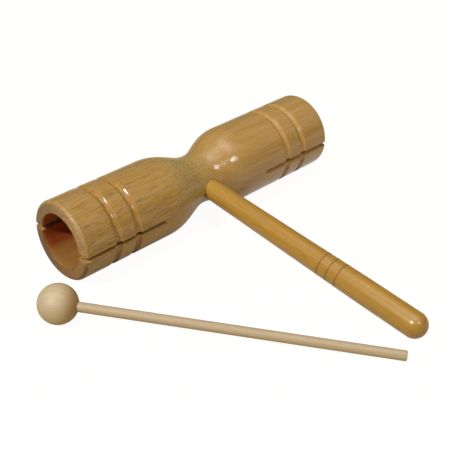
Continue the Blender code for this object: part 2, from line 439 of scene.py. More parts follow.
@dataclass(frozen=True)
class WoodGrain(NodeGroup):
    """Solid wood with its grain along X, in millimetres, so that a cut across it shows the pores as dots."""

    name: ClassVar[str] = "wood_grain"
    inputs: ClassVar[dict[str, str]] = {
        "Vector": "Vector",
        "Early Wood": "Color",
        "Late Wood": "Color",
        "Pore": "Color",
        "Band Width": "Float",
        "Streak": "Float",
        "Fibre": "Float",
        "Pore Share": "Float",
        "Warmth": "Float",
        "Tone": "Float",
    }
    outputs: ClassVar[dict[str, str]] = {"Colour": "Color", "Pores": "Float", "Height": "Float"}

    drift: Noise = Noise(0.012, 0.030, 1.0)
    drift_reach: Triple = (0.0, 5.0, 5.0)
    across_grain: Triple = (0.0, 1.0, 1.0)
    pith: Triple = (0.0, -38.0, 55.0)
    band_middle: float = 0.5
    band_swing: float = 0.08
    streak: Noise = Noise(0.015, 1.5, 4.0, 0.62)
    fibre: Noise = Noise(0.050, 4.2, 2.0)
    fibre_height: float = 0.07
    tones: Span = (0.0, 1.0)
    golden: Specks = Specks(Noise(0.016, 0.33, 3.0, 0.6), (0.40, 0.62))
    golden_tint: Colour = (1.0, 0.93, 0.62)
    pores: Specks = Specks(Noise(0.095, 3.4, 1.0), (0.60, 0.67))
    pore_height: float = -0.3

    def results(self, bench: Bench, given: bpy.types.NodeOutputs) -> dict[str, Value]:
        """Bands of growth, long streaks, short fibres, golden patches and pores.

        All but the bands are noises drawn out on the grain, which first wanders a little sideways. The bands
        are a sine of the distance from a pith that lies outside the piece. Streak and fibre shift the tone
        about its middle, and a pore is where its noise passes a limit.

        Args:
            bench: Where the nodes go.
            given: The group's inputs.

        Returns:
            The colour, the pore mask and the height.
        """
        drift = bench.noise(given["Vector"], self.drift, "Color")
        aside = bench.vector("SUBTRACT", drift, (NOISE_MIDDLE,) * 3)
        grain = bench.vector("ADD", given["Vector"], bench.vector("MULTIPLY", aside, self.drift_reach))
        ends = {0: bench.vector("MULTIPLY", grain, self.across_grain), 1: self.pith}
        from_pith = bench.add("ShaderNodeVectorMath", ends, operation="DISTANCE").outputs["Value"]
        turns = bench.times(bench.math("DIVIDE", from_pith, given["Band Width"]), 2 * math.pi)
        band = bench.total(self.band_middle, (bench.math("SINE", turns), self.band_swing))
        streak, fibre = bench.swing(grain, self.streak), bench.swing(grain, self.fibre)
        tone = bench.total(band, (streak, given["Streak"]), (fibre, given["Fibre"]))
        tone = bench.ramp(bench.math("ADD", tone, given["Tone"]), self.tones)
        colour = bench.mix(tone, given["Early Wood"], given["Late Wood"])
        golden = bench.times(bench.specks(grain, self.golden), given["Warmth"])
        colour = bench.mix(golden, colour, self.golden_tint, Blend.MULTIPLY)
        pores = bench.times(bench.specks(grain, self.pores), given["Pore Share"])
        height = bench.total(bench.times(pores, self.pore_height), (fibre, self.fibre_height))
        return {"Colour": bench.mix(pores, colour, given["Pore"]), "Pores": pores, "Height": height}


@dataclass(frozen=True)
class SurfaceCoat(NodeGroup):
    """How smooth the surface is: an uneven coat that sinks into the pores, or the plain sanded wood."""

    name: ClassVar[str] = "surface_coat"
    inputs: ClassVar[dict[str, str]] = {
        "Vector": "Vector",
        "Pores": "Float",
        "Height": "Float",
        "Gloss": "Float",
        "Bare": "Float",
        "End Grain": "Float",
    }
    outputs: ClassVar[dict[str, str]] = {"Roughness": "Float", "Height": "Float"}

    smear: Noise = Noise(0.05, 0.08, 3.0)
    smear_rough: float = 0.10
    pore_rough: float = 0.12
    bare_rough: float = 0.35
    end_rough: float = 0.24
    ripple: Noise = Noise(0.30, 0.45, 2.0)
    ripple_height: float = 0.6
    stipple: Noise = Noise(0.45, 1.2, 0.0)
    stipple_height: float = 1.1
    turning: Noise = Noise(1.1, 0.25, 1.0)
    turning_height: float = 0.8
    fibre_ends: Noise = Noise(2.2, 2.2, 2.0)
    fibre_ends_height: float = 1.8

    def results(self, bench: Bench, given: bpy.types.NodeOutputs) -> dict[str, Value]:
        """Roughness rises in the pores, in faint smears, on end grain and on bare wood.

        Ripples, stipple and turning marks add height, and so do the open ends of the fibres on end grain.

        Args:
            bench: Where the nodes go.
            given: The group's inputs.

        Returns:
            The roughness and the height.
        """
        vector = given["Vector"]
        rough = bench.total(
            given["Gloss"],
            (bench.swing(vector, self.smear), self.smear_rough),
            (given["Pores"], self.pore_rough),
            (given["Bare"], self.bare_rough),
            (given["End Grain"], self.end_rough),
        )
        height = bench.total(
            given["Height"],
            (bench.noise(vector, self.ripple), self.ripple_height),
            (bench.noise(vector, self.stipple), self.stipple_height),
            (bench.noise(vector, self.turning), self.turning_height),
            (bench.times(bench.noise(vector, self.fibre_ends), self.fibre_ends_height), given["End Grain"]),
        )
        return {"Roughness": rough, "Height": height}


@dataclass(frozen=True)
class WoodFinish:
    """A wood finish: the tones and scale of its grain and the smoothness of its surface."""

    name: str
    early: Colour
    late: Colour
    pore: Colour
    band_width: float
    streak: float
    fibre: float
    pore_share: float
    warmth: float
    gloss: float
    relief: float
    seed: Triple
    coat: float = 0.0
    coat_roughness: float = 0.2

    def coordinates(self, bench: Bench, place: Matrix) -> Socket:
        """Object coordinates turned into the piece's own frame, in millimetres, moved on by the seed.

        Args:
            bench: Where the nodes go.
            place: The piece's placing matrix.

        Returns:
            The coordinates' vector.
        """
        back = place.inverted()
        values = {
            "Vector": bench.add("ShaderNodeTexCoord").outputs["Object"],
            "Location": tuple(back.translation * MILLIMETRES + Vector(self.seed)),
            "Rotation": tuple(back.to_euler()),
            "Scale": (MILLIMETRES,) * 3,
        }
        return bench.add("ShaderNodeMapping", values).outputs[0]

    def pores(self, bench: Bench, vector: Value) -> Value:
        """How strongly the pores show."""
        return self.pore_share

    def tone(self, bench: Bench, vector: Value) -> Value:
        """How far the wood is darker than its middle tone."""
        return 0.0

    def tinted(self, bench: Bench, vector: Value, colour: Value) -> Value:
        """The grain's colour with what this finish lays over it."""
        return colour

    def bare(self, bench: Bench) -> Value:
        """Where the wood is uncoated, from 0 to 1."""
        return 0.0

    def end_grain_share(self, bench: Bench) -> Value:
        """Where the fibres are cut across, from 0 to 1."""
        return 0.0

    def coat_weight(self, bench: Bench) -> Value:
        """How much of a clear coat lies on the wood."""
        return self.coat

    def material(self, place: Matrix) -> bpy.types.Material:
        """Build the finish for a piece.

        Args:
            place: The piece's placing matrix.

        Returns:
            The material.
        """
        material = bpy.data.materials.new(self.name)
        material.use_nodes = True
        bench = Bench(material.node_tree)
        vector = self.coordinates(bench, place)
        wood = {
            "Vector": vector,
            "Early Wood": self.early,
            "Late Wood": self.late,
            "Pore": self.pore,
            "Band Width": self.band_width,
            "Streak": self.streak,
            "Fibre": self.fibre,
            "Pore Share": self.pores(bench, vector),
            "Warmth": self.warmth,
            "Tone": self.tone(bench, vector),
        }
        grain = WoodGrain().placed(bench, wood)
        coat = {
            "Vector": vector,
            "Pores": grain["Pores"],
            "Height": grain["Height"],
            "Gloss": self.gloss,
            "Bare": self.bare(bench),
            "End Grain": self.end_grain_share(bench),
        }
        surface = SurfaceCoat().placed(bench, coat)
        bump = {"Strength": 1.0, "Distance": self.relief, "Height": surface["Height"]}
        looks = {
            "Base Color": self.tinted(bench, vector, grain["Colour"]),
            "Roughness": surface["Roughness"],
            "Normal": bench.add("ShaderNodeBump", bump).outputs["Normal"],
            "Coat Weight": self.coat_weight(bench),
            "Coat Roughness": self.coat_roughness,
        }
        shader = material.node_tree.nodes["Principled BSDF"]
        for name, value in looks.items():
            bench.feed(shader.inputs[name], value)
        return material


@dataclass(frozen=True)
class BlockFinish(WoodFinish):
    """Varnished block, greyer across the grain and pale where it is sawn, with light and shade painted into
    its chambers, kerfs, grooves and rims.
    """

    # From the low tube to the high one.
    tube_change: Span = (-8.0, 28.0)
    pore_fade: float = 0.75
    high_tone: float = -0.08

    # The waist and the grooves.
    run_out: Tint = Tint((0.58, 0.405, 0.145), 0.5)
    flecks: Specks = Specks(Noise(0.9, 1.5, 1.0), (0.54, 0.65))
    fleck: Tint = Tint((0.15, 0.078, 0.024), 0.62)
    # Painted shade in the grooves, darker under the axis, and painted light in the high tube's grooves.
    groove_shade_low_tube: Colour = (0.97, 0.91, 0.78)
    groove_light_high_tube: Colour = (1.10, 1.06, 1.04)
    groove_shade_below_axis: Colour = (0.68, 0.58, 0.50)
    groove_shade_below_from: Span = (2.0, -6.0)
    groove_shade_underneath: Colour = (0.25, 0.12, 0.02)

    # The rims and their rounded edges, by how much they cut across the grain.
    rim_share: Span = (0.3, 1.0)
    rim: Tint = Tint((0.52, 0.325, 0.128), 0.65)
    # Pale specks of cut fibres over the rims' rounded edges, partly painted glints.
    cut_fibres_and_glints: Tint = Tint((0.56, 0.390, 0.190), 0.5)
    cut_fibre_and_glint_specks: Specks = Specks(Noise(0.8, 1.15, 2.0), (0.48, 0.62))
    cut_reach: Span = (0.02, 0.35)
    cut_less: Span = (0.6, 1.0)
    cut_loss: float = -0.45
    mottled: Tint = Tint((0.74, 0.66, 0.56), blend=Blend.MULTIPLY)
    mottling: Specks = Specks(Noise(0.6, 0.75, 2.0, 0.65), (0.40, 0.62))
    # Painted shade: the rims darker low down, with a blotchy edge.
    low_rim: Tint = Tint((0.64, 0.50, 0.36), blend=Blend.MULTIPLY)
    low_rim_shade_from: Span = (-12.0, 16.0)
    blotch: Noise = Noise(0.5, 0.32, 3.0, 0.6)
    blotch_reach: float = 40.0
    # Painted shade on the rims' rounded edges underneath.
    low_edge_shade: Tint = Tint((0.45, 0.42, 0.40), blend=Blend.MULTIPLY)
    low_edge_shade_from: Span = (2.0, -8.0)
    edge_starts: Span = (0.02, 0.30)
    edge_ends: Span = (0.75, 1.0)
    # Painted shade on the far side of the rims.
    far_rim_shade: Tint = Tint((0.60, 0.57, 0.70), blend=Blend.MULTIPLY)
    far_rim_shade_from: Span = (-12.0, 18.0)

    # The chambers and the kerfs.
    # Painted shade: the chambers' dark red stands for the shade deep inside them, over a redder bare wood.
    chamber: Colour = (0.41, 0.042, 0.005)
    chamber_shade_share: float = 0.9
    # Painted light: the chambers' lower walls, lit through the mouth, are painted paler.
    chamber_lit_strip: Colour = (0.45, 0.205, 0.046)
    figure: Noise = Noise(0.035, 0.20, 4.0, 0.62)
    figure_swing: float = 2.4
    # Pale sawn wood, made paler still as painted light on the kerfs' shaded lower walls.
    sawn_and_lit: Tint = Tint((0.76, 0.445, 0.145), 0.85)
    # Painted shade deep in the kerfs, where the upper lip shades the lower wall.
    kerf_shade: Tint = Tint((0.14, 0.048, 0.007), 0.8)

    # Where open fibres roughen the surface.
    rough_rim: Span = (0.0, 0.10)
    rough_flank: float = 0.16

    def along(self, bench: Bench, vector: Value) -> Socket:
        """0 on the low tube, rising to 1 on the high tube."""
        return bench.ramp(bench.axes(vector)["X"], self.tube_change)

    def pores(self, bench: Bench, vector: Value) -> Value:
        """Strongest on the low tube, fainter on the high one."""
        return bench.total(self.pore_share, (self.along(bench, vector), -self.pore_fade * self.pore_share))

    def tone(self, bench: Bench, vector: Value) -> Value:
        """Paler towards the high end."""
        return bench.times(self.along(bench, vector), self.high_tone)

    def tinted(self, bench: Bench, vector: Value, colour: Value) -> Value:
        """Blend to olive with dark flecks where the grain runs out, then paint light and shade into the
        grooves, rims, chambers and kerfs.

        Args:
            bench: Where the nodes go.
            vector: The piece's coordinates.
            colour: The grain's colour.

        Returns:
            The finished colour.
        """
        run_out = bench.mark(Mark.RUN_OUT)
        colour = bench.laid(self.run_out, run_out, colour)
        colour = bench.laid(self.fleck, bench.times(bench.specks(vector, self.flecks), run_out), colour)
        # Painted shade and light in the grooves.
        colour = bench.mix(bench.mark(Mark.GROOVE), colour, self.painted_groove_shading(bench, vector), Blend.MULTIPLY)
        colour = self.rimmed(bench, vector, colour)
        # Painted light on the chambers' lower walls, under painted shade higher up.
        pale = bench.total(bench.mark(Mark.LOW), (bench.swing(vector, self.figure), self.figure_swing))
        inside = bench.mix(pale, self.chamber, self.chamber_lit_strip)
        # Painted shade in the chambers, deepening inwards.
        colour = bench.mix(bench.times(bench.mark(Mark.CHAMBER_SHADE), self.chamber_shade_share), colour, inside)
        # Pale sawn wood, partly painted light.
        colour = bench.laid(self.sawn_and_lit, bench.mark(Mark.SAWN), colour)
        # Painted shade deep in the kerfs.
        return bench.laid(self.kerf_shade, bench.mark(Mark.BURN_AND_KERF_SHADE), colour)

    def painted_groove_shading(self, bench: Bench, vector: Value) -> Socket:
        """Painted shade in the grooves: golden above, lightened as painted light on the high tube, and darker
        and darker underneath.

        Args:
            bench: Where the nodes go.
            vector: The piece's coordinates.

        Returns:
            The tint to multiply by.
        """
        above = bench.mix(self.along(bench, vector), self.groove_shade_low_tube, self.groove_light_high_tube)
        beside = bench.mix(bench.ramp(bench.axes(vector)["Z"], self.groove_shade_below_from), above, self.groove_shade_below_axis)
        return bench.mix(bench.mark(Mark.LOW), beside, self.groove_shade_underneath)

    def rimmed(self, bench: Bench, vector: Value, colour: Value) -> Socket:
        """Blend to the rims' tone, mottled, with painted shade low down and on the far side.

        Pale specks of cut fibres, partly painted glints, reach on over the rims' rounded edges, and painted
        shade darkens those edges underneath.

        Args:
            bench: Where the nodes go.
            vector: The piece's coordinates.
            colour: The colour so far.

        Returns:
            The colour with the rims in it.
        """
        cut = bench.mark(Mark.END_GRAIN)
        place = bench.axes(vector)
        rim = bench.ramp(cut, self.rim_share)
        colour = bench.laid(self.rim, rim, colour)
        reach = bench.total(bench.ramp(cut, self.cut_reach), (bench.ramp(cut, self.cut_less), self.cut_loss))
        specks = bench.times(bench.specks(vector, self.cut_fibre_and_glint_specks), reach)
        colour = bench.laid(self.cut_fibres_and_glints, specks, colour)
        colour = bench.laid(self.mottled, bench.times(bench.specks(vector, self.mottling), rim), colour)
        blotch = bench.times(bench.swing(vector, self.blotch), self.blotch_reach)
        low = bench.ramp(bench.math("SUBTRACT", blotch, place["Z"]), self.low_rim_shade_from)
        colour = bench.laid(self.low_rim, bench.times(low, rim), colour)
        edge = bench.math("SUBTRACT", bench.ramp(cut, self.edge_starts), bench.ramp(cut, self.edge_ends))
        under = bench.ramp(place["Z"], self.low_edge_shade_from)
        colour = bench.laid(self.low_edge_shade, bench.times(edge, under), colour)
        far = bench.ramp(place["Y"], self.far_rim_shade_from)
        return bench.laid(self.far_rim_shade, bench.times(far, rim), colour)

    def end_grain_share(self, bench: Bench) -> Value:
        """The rims and most of their rounded edges, and less so the waist's flanks."""
        rims = bench.ramp(bench.mark(Mark.END_GRAIN), self.rough_rim)
        return bench.math("MAXIMUM", rims, bench.times(bench.mark(Mark.FLANK), self.rough_flank))

    def bare(self, bench: Bench) -> Value:
        """The chambers, the kerfs and the undersides of the grooves.

        Args:
            bench: Where the nodes go.

        Returns:
            The mask, from 0 to 1.
        """
        cut = bench.math("MAXIMUM", bench.mark(Mark.SAWN), bench.mark(Mark.BURN_AND_KERF_SHADE))
        grooves = bench.times(bench.mark(Mark.GROOVE), bench.mark(Mark.LOW))
        return bench.math("MAXIMUM", bench.mark(Mark.CHAMBER_SHADE), bench.math("MAXIMUM", cut, grooves))


@dataclass(frozen=True)
class HandleFinish(WoodFinish):
    """Varnished handle with lines burnt in by a wire, darker where its dome cuts across the grain."""

    dome: Tint = Tint((0.33, 0.150, 0.026), 0.8)
    char: Tint = Tint((0.200, 0.070, 0.008), 0.7)

    def tinted(self, bench: Bench, vector: Value, colour: Value) -> Value:
        """Darken over the dome, and to char at the burnt lines."""
        colour = bench.laid(self.dome, bench.mark(Mark.END_GRAIN), colour)
        return bench.laid(self.char, bench.mark(Mark.BURN_AND_KERF_SHADE), colour)

    def bare(self, bench: Bench) -> Value:
        """The burnt lines."""
        return bench.mark(Mark.BURN_AND_KERF_SHADE)

    def coat_weight(self, bench: Bench) -> Value:
        """Coated but for the burnt lines."""
        return bench.total(self.coat, (bench.mark(Mark.BURN_AND_KERF_SHADE), -self.coat))


@dataclass(frozen=True)
class HeadFinish(WoodFinish):
    """Plain turned ball, browner round the stick's hole: end grain there, and painted shade on that side."""

    # Browner round the stick's hole: end grain, and painted shade on that side.
    hole_grain_and_shade: Tint = Tint((0.38, 0.185, 0.028), 0.85)

    def tinted(self, bench: Bench, vector: Value, colour: Value) -> Value:
        """Blend towards the browner tone round the hole, partly painted shade."""
        return bench.laid(self.hole_grain_and_shade, bench.mark(Mark.HOLE_SIDE), colour)


BLOCK_FINISH = BlockFinish(
    name="block_varnish",
    early=(0.53, 0.322, 0.121),
    late=(0.36, 0.202, 0.052),
    pore=(0.180, 0.082, 0.014),
    band_width=5.5,
    streak=0.95,
    fibre=1.15,
    pore_share=0.80,
    warmth=0.85,
    gloss=0.10,
    relief=0.00006,
    seed=(0.0, 0.0, 0.0),
)
HANDLE_FINISH = HandleFinish(
    name="handle_varnish",
    early=(0.49, 0.268, 0.043),
    late=(0.405, 0.208, 0.026),
    pore=(0.33, 0.150, 0.026),
    band_width=4.0,
    streak=1.3,
    fibre=1.7,
    pore_share=0.60,
    warmth=0.30,
    gloss=0.34,
    relief=0.00002,
    seed=(310.0, 47.0, 83.0),
    coat=0.45,
    coat_roughness=0.21,
)
HEAD_FINISH = HeadFinish(
    name="head_bare_wood",
    early=(0.61, 0.495, 0.318),
    late=(0.53, 0.402, 0.236),
    pore=(0.50, 0.360, 0.200),
    band_width=3.2,
    streak=0.8,
    fibre=0.5,
    pore_share=0.25,
    warmth=0.25,
    gloss=0.50,
    relief=0.00002,
    seed=(620.0, 151.0, 29.0),
)
STICK_FINISH = WoodFinish(
    name="stick_bare_wood",
    early=(0.530, 0.405, 0.255),
    late=(0.440, 0.322, 0.190),
    pore=(0.40, 0.260, 0.140),
    band_width=2.4,
    streak=1.1,
    fibre=0.2,
    pore_share=0.08,
    warmth=0.15,
    gloss=0.50,
    relief=0.00002,
    seed=(930.0, 67.0, 171.0),
)


class Piece:
    """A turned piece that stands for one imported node, with its body, its slot and its finish."""

    node: ClassVar[str]
    body: ClassVar[Body]
    slot: ClassVar[Slot]
    finish: ClassVar[WoodFinish]

    def skin(self) -> Skin:
        """The piece's surface in its own frame."""
        raise NotImplementedError

    def build(self, place: Matrix) -> bpy.types.Object:
        """The piece's mesh object, with its place in its mesh."""
        return self.skin().placed(place).to_object("dressed_" + self.node)

    def dress(self, piece: bpy.types.Object, place: Matrix) -> None:
        """Give the piece its finish, and let it ride on its body in the node's place.

        Args:
            piece: The piece's mesh object.
            place: Its placing matrix.
        """
        piece.data.materials.append(self.finish.material(place))
        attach(piece, self.body.value)
        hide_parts(self.node)


@dataclass(frozen=True)
class WaistSide:
    """One side of the waist: a cove, a straight flank and a shoulder, each tangent to the next."""

    cove: float
    shoulder: float
    flank: float

    def rise(self, distance: Array, drop: float) -> Array:
        """Height above the narrowest circle at a distance from it.

        The cove is cove - sqrt(cove^2 - d^2), the flank climbs at its angle, and the shoulder is an arc that
        ends level with the tube.

        Args:
            distance: Distances along the axis from the narrowest circle.
            drop: The tube's radius less the waist's.

        Returns:
            Heights from 0 to drop.
        """
        bend = 1 - math.cos(self.flank)
        cove_end = self.cove * math.sin(self.flank)
        flank_end = cove_end + (drop - (self.cove + self.shoulder) * bend) / math.tan(self.flank)
        reach = flank_end + self.shoulder * math.sin(self.flank)
        in_cove = self.cove - np.sqrt(np.maximum(self.cove**2 - distance**2, 0.0))
        on_flank = self.cove * bend + (distance - cove_end) * math.tan(self.flank)
        over = np.maximum(self.shoulder**2 - (reach - distance) ** 2, 0.0)
        on_shoulder = drop - self.shoulder + np.sqrt(over)
        zones = [distance < cove_end, distance < flank_end, distance < reach]
        return np.select(zones, [in_cove, on_flank, on_shoulder], drop)


@dataclass(frozen=True)
class BlockOutline:
    """The block's turned outline from one chamber floor over both rims to the other."""

    along: Array
    radius: Array
    # Painted shade in the chambers at each point, 0 outside them.
    chamber: Array
    low_rim: int
    high_rim: int
    paired: int

    def direction(self) -> tuple[Array, Array]:
        """The outline's direction: its steps along the axis and away from it, over their length.

        Returns:
            The run and the climb.
        """
        run, climb = np.gradient(self.along), np.gradient(self.radius)
        size = np.hypot(run, climb)
        return run / size, climb / size


@dataclass(frozen=True)
class ToneBlock(Piece):
    """The turned block: two slotted tubes, a waist between them, and the bore for the handle."""

    node: ClassVar[str] = "tone_block"
    body: ClassVar[Body] = Body.WOODBLOCK
    slot: ClassVar[Slot] = Slot.BLOCK
    finish: ClassVar[WoodFinish] = BLOCK_FINISH

    # Its sizes.
    length: float = 0.1991
    tube_radius: float = 0.02425
    edge_round: float = 0.0026
    waist_radius: float = 0.01565
    waist_shift: float = 0.0012
    low_side: WaistSide = WaistSide(0.0269, 0.0408, math.radians(22.5))
    high_side: WaistSide = WaistSide(0.0221, 0.0322, math.radians(26.2))
    groove_places: tuple[float, float] = (0.0231, 0.0375)
    groove_width: float = 0.0048
    groove_depth: float = 0.0012
    groove_lip: float = 0.00045
    chamber_radius: float = 0.01705
    low_depth: float = 0.07175
    high_depth: float = 0.05885
    mouth_round: float = 0.0005
    drill_mark_radius: float = 0.0020
    drill_mark_depth: float = 0.0012
    kerf_width: float = 0.0028
    kerf_length: float = 0.0579
    kerf_turn: float = math.radians(-2.0)
    kerf_turn_from: Span = (0.012, 0.032)
    kerf_lip: float = 0.00030
    handle_along: float = 0.0032
    handle_lean: float = math.radians(0.66)
    bore_radius: float = 0.00634
    bore_lip: float = 0.00020
    bore_floor: float = -0.00435

    # How finely it is sampled.
    columns: int = 62
    lip_steps: int = 4
    rim_steps: int = 4
    edge_steps: int = 10
    wall_steps: int = 4
    waist_pitch: float = 0.0011
    tube_samples: int = 9
    band_samples: int = 6
    groove_samples: int = 15
    groove_lip_samples: int = 5
    kerf_end_samples: int = 9
    bore_samples: int = 37
    beyond_samples: int = 4
    deep_samples: int = 6
    floor_samples: int = 8

    # Where its marks start and are full.
    # How the chambers' painted shade rises with depth.
    chamber_shade_at_mouth: Span = (0.0, 0.0012)
    chamber_shade_within: Span = (0.010, 0.050)
    chamber_shade_mouth_share: float = 0.9
    groove_shade_from: Span = (0.0, 0.55)
    flank_slopes: Span = (0.05, 0.30)
    run_out_starts: Span = (-0.036, -0.018)
    run_out_ends: Span = (-0.006, 0.008)
    low_from: Span = (0.0090, 0.0168)
    # Painted shade in the kerfs, and pale sawn wood with painted light nearer the rim.
    kerf_shade_from_rim: Span = (0.0015, 0.0065)
    kerf_shade_inwards: Span = (0.10, 0.48)
    kerf_shade_at_high_end: float = 0.25
    sawn_from_rim: Span = (0.0, 0.006)

    def from_end(self, along: Array) -> Array:
        """Distances from the nearer end at distances from the block's middle."""
        return self.length / 2 - np.abs(along)

    def groove_circle(self) -> tuple[float, float, float, float]:
        """A groove's arc, from its width and depth, and the small lip arcs tangent to it and to the tube.

        Returns:
            The arc's radius, the height of its centre over the tube, and where a lip ends and starts.
        """
        cove = (self.groove_width**2 / 4 + self.groove_depth**2) / (2 * self.groove_depth)
        above = cove - self.groove_depth
        lip_middle = math.sqrt((cove + self.groove_lip) ** 2 - (above + self.groove_lip) ** 2)
        return cove, above, lip_middle, lip_middle * cove / (cove + self.groove_lip)

    def groove_drop(self, from_end: Array) -> Array:
        """Depth of the two cove grooves: sqrt(cove^2 - d^2) - above in the arc, and a lip's arc beside it.

        Args:
            from_end: Distances from the nearer end.

        Returns:
            How far the surface lies below the tube.
        """
        cove, above, lip_middle, lip_start = self.groove_circle()
        aside = np.min([np.abs(from_end - place) for place in self.groove_places], axis=0)
        in_cove = np.sqrt(np.maximum(cove**2 - aside**2, 0.0)) - above
        in_lip = self.groove_lip - np.sqrt(np.maximum(self.groove_lip**2 - (aside - lip_middle) ** 2, 0.0))
        return np.select([aside < lip_start, aside < lip_middle], [in_cove, in_lip], 0.0)

    def outer_radius(self, along: Array) -> Array:
        """Radius of the outside: the waist's rise less the grooves.

        Args:
            along: Distances from the block's middle.

        Returns:
            The radii there.
        """
        beside = along - self.waist_shift
        drop = self.tube_radius - self.waist_radius
        rise = np.where(beside < 0, self.low_side.rise(-beside, drop), self.high_side.rise(beside, drop))
        return self.waist_radius + rise - self.groove_drop(self.from_end(along))

    def tube_places(self) -> tuple[Array, int]:
        """Distances from an end at which a tube is sampled, outside and in its chamber alike.

        They lie close together in the grooves. On the kerf's round end they follow the sine of equal angles.

        Returns:
            The distances, and the index of the kerf's inner end among them.
        """
        _, _, lip_middle, lip_start = self.groove_circle()
        lip = np.linspace(lip_middle, lip_start, self.groove_lip_samples)
        cove = np.linspace(lip_start, -lip_start, self.groove_samples)[1:-1]
        groove = np.concatenate([-lip, -cove, lip[::-1]])
        first, second = self.groove_places
        half = self.kerf_width / 2
        round_middle = self.kerf_length - half
        straight = [
            np.linspace(self.edge_round, first - lip_middle, self.tube_samples)[:-1],
            first + groove,
            np.linspace(first + lip_middle, second - lip_middle, self.band_samples)[1:-1],
            second + groove,
            np.linspace(second + lip_middle, round_middle, self.tube_samples)[1:],
        ]
        round_end = round_middle + half * np.sin(np.linspace(0.0, QUARTER_TURN, self.kerf_end_samples)[1:])
        beyond = self.kerf_length + np.linspace(0.0, self.kerf_lip, self.beyond_samples)[1:]
        places = np.concatenate([*straight, round_end, beyond])
        return places, len(places) - len(beyond) - 1

    def end_outline(self, depth: float) -> tuple[Array, Array, int]:
        """One end's inside and outside, each from the middle of the rim, as (distance from the end, radius).

        Both start with the flat rim and a rounded edge and go on at the same distances, so that the points
        of one pair up with the points of the other across the wall.

        Args:
            depth: The chamber's depth.

        Returns:
            The inside down to the middle of the floor, the outside, and how many points pair up at the kerf.
        """
        places, kerf_end = self.tube_places()
        mouth, edge = self.mouth_round, self.edge_round
        inner_edge = self.chamber_radius + mouth
        outer_edge = self.tube_radius - edge
        middle = (inner_edge + outer_edge) / 2
        flat = np.linspace(0.0, 1.0, self.rim_steps)
        rim_in = np.stack([flat * 0, middle + (inner_edge - middle) * flat], axis=-1)
        rim_out = np.stack([flat * 0, middle + (outer_edge - middle) * flat], axis=-1)
        mouth_arc = arc((mouth, inner_edge), mouth, math.pi, 1.5 * math.pi, self.edge_steps + 1)[1:]
        edge_arc = arc((edge, outer_edge), edge, math.pi, QUARTER_TURN, self.edge_steps + 2)[1:]
        deeper = np.concatenate([places, np.linspace(places[-1], depth, self.deep_samples)[1:]])
        wall = np.stack([deeper, np.full_like(deeper, self.chamber_radius)], axis=-1)
        floor_radius = np.linspace(self.chamber_radius, self.drill_mark_radius, self.floor_samples)[1:]
        floor = np.stack([np.full_like(floor_radius, depth), floor_radius], axis=-1)
        mark = np.array([[depth + self.drill_mark_depth, 0.0]])
        tube = np.stack([places, self.tube_radius - self.groove_drop(places)], axis=-1)[1:]
        inside = np.concatenate([rim_in, mouth_arc, wall, floor, mark])
        outside = np.concatenate([rim_out, edge_arc, tube])
        return inside, outside, len(rim_in) + len(mouth_arc) + kerf_end + 1

    def waist_places(self, start: float, end: float) -> Array:
        """Distances from the block's middle at which the waist is sampled between the two tubes.

        Round the handle's bore they follow the sine of equal angles, so that its edge is evenly stepped.

        Args:
            start: Where the low tube's samples end.
            end: Where the high tube's samples start.

        Returns:
            The distances between start and end, both left out.
        """
        half = self.bore_radius
        across = half * np.sin(np.linspace(-QUARTER_TURN, QUARTER_TURN, self.bore_samples))
        lip = half + np.linspace(0.0, self.bore_lip, self.beyond_samples)[1:]
        near = self.bore_middle() + np.concatenate([-lip[::-1], across, lip])
        low = np.linspace(start, near[0], int((near[0] - start) / self.waist_pitch))[1:-1]
        high = np.linspace(near[-1], end, int((end - near[-1]) / self.waist_pitch))[1:-1]
        return np.concatenate([low, near, high])

    def bore_middle(self) -> float:
        """Where the handle's axis leaves the waist, along the block."""
        return self.handle_along - self.waist_radius * math.tan(self.handle_lean)

    def outline(self) -> BlockOutline:
        """The whole turned outline: the low end's inside and outside, the waist, and the high end's two.

        Returns:
            The outline, with the painted shade in its chambers and how many points pair up along each kerf.
        """
        low_in, low_out, paired = self.end_outline(self.low_depth)
        high_in, high_out, _ = self.end_outline(self.high_depth)
        half = self.length / 2
        waist = self.waist_places(low_out[-1, 0] - half, half - high_out[-1, 0])
        along = [low_in[::-1, 0] - half, low_out[1:, 0] - half, waist]
        along += [half - high_out[:0:-1, 0], half - high_in[:, 0]]
        radius = [low_in[::-1, 1], low_out[1:, 1], self.outer_radius(waist)]
        radius += [high_out[:0:-1, 1], high_in[:, 1]]
        outside = np.zeros(len(low_out) + len(waist) + len(high_out) - 2)
        return BlockOutline(
            along=np.concatenate(along),
            radius=np.concatenate(radius),
            chamber=np.concatenate([self.chamber_shade_at(low_in[::-1, 0]), outside, self.chamber_shade_at(high_in[:, 0])]),
            low_rim=len(low_in) - 1,
            high_rim=len(low_in) + len(outside),
            paired=paired,
        )

    def chamber_shade_at(self, depth: Array) -> Array:
        """Painted shade in a chamber at a depth: it rises quickly at the mouth, then slowly."""
        slow = (1 - self.chamber_shade_mouth_share) * smooth_step(depth, self.chamber_shade_within)
        return self.chamber_shade_mouth_share * smooth_step(depth, self.chamber_shade_at_mouth) + slow

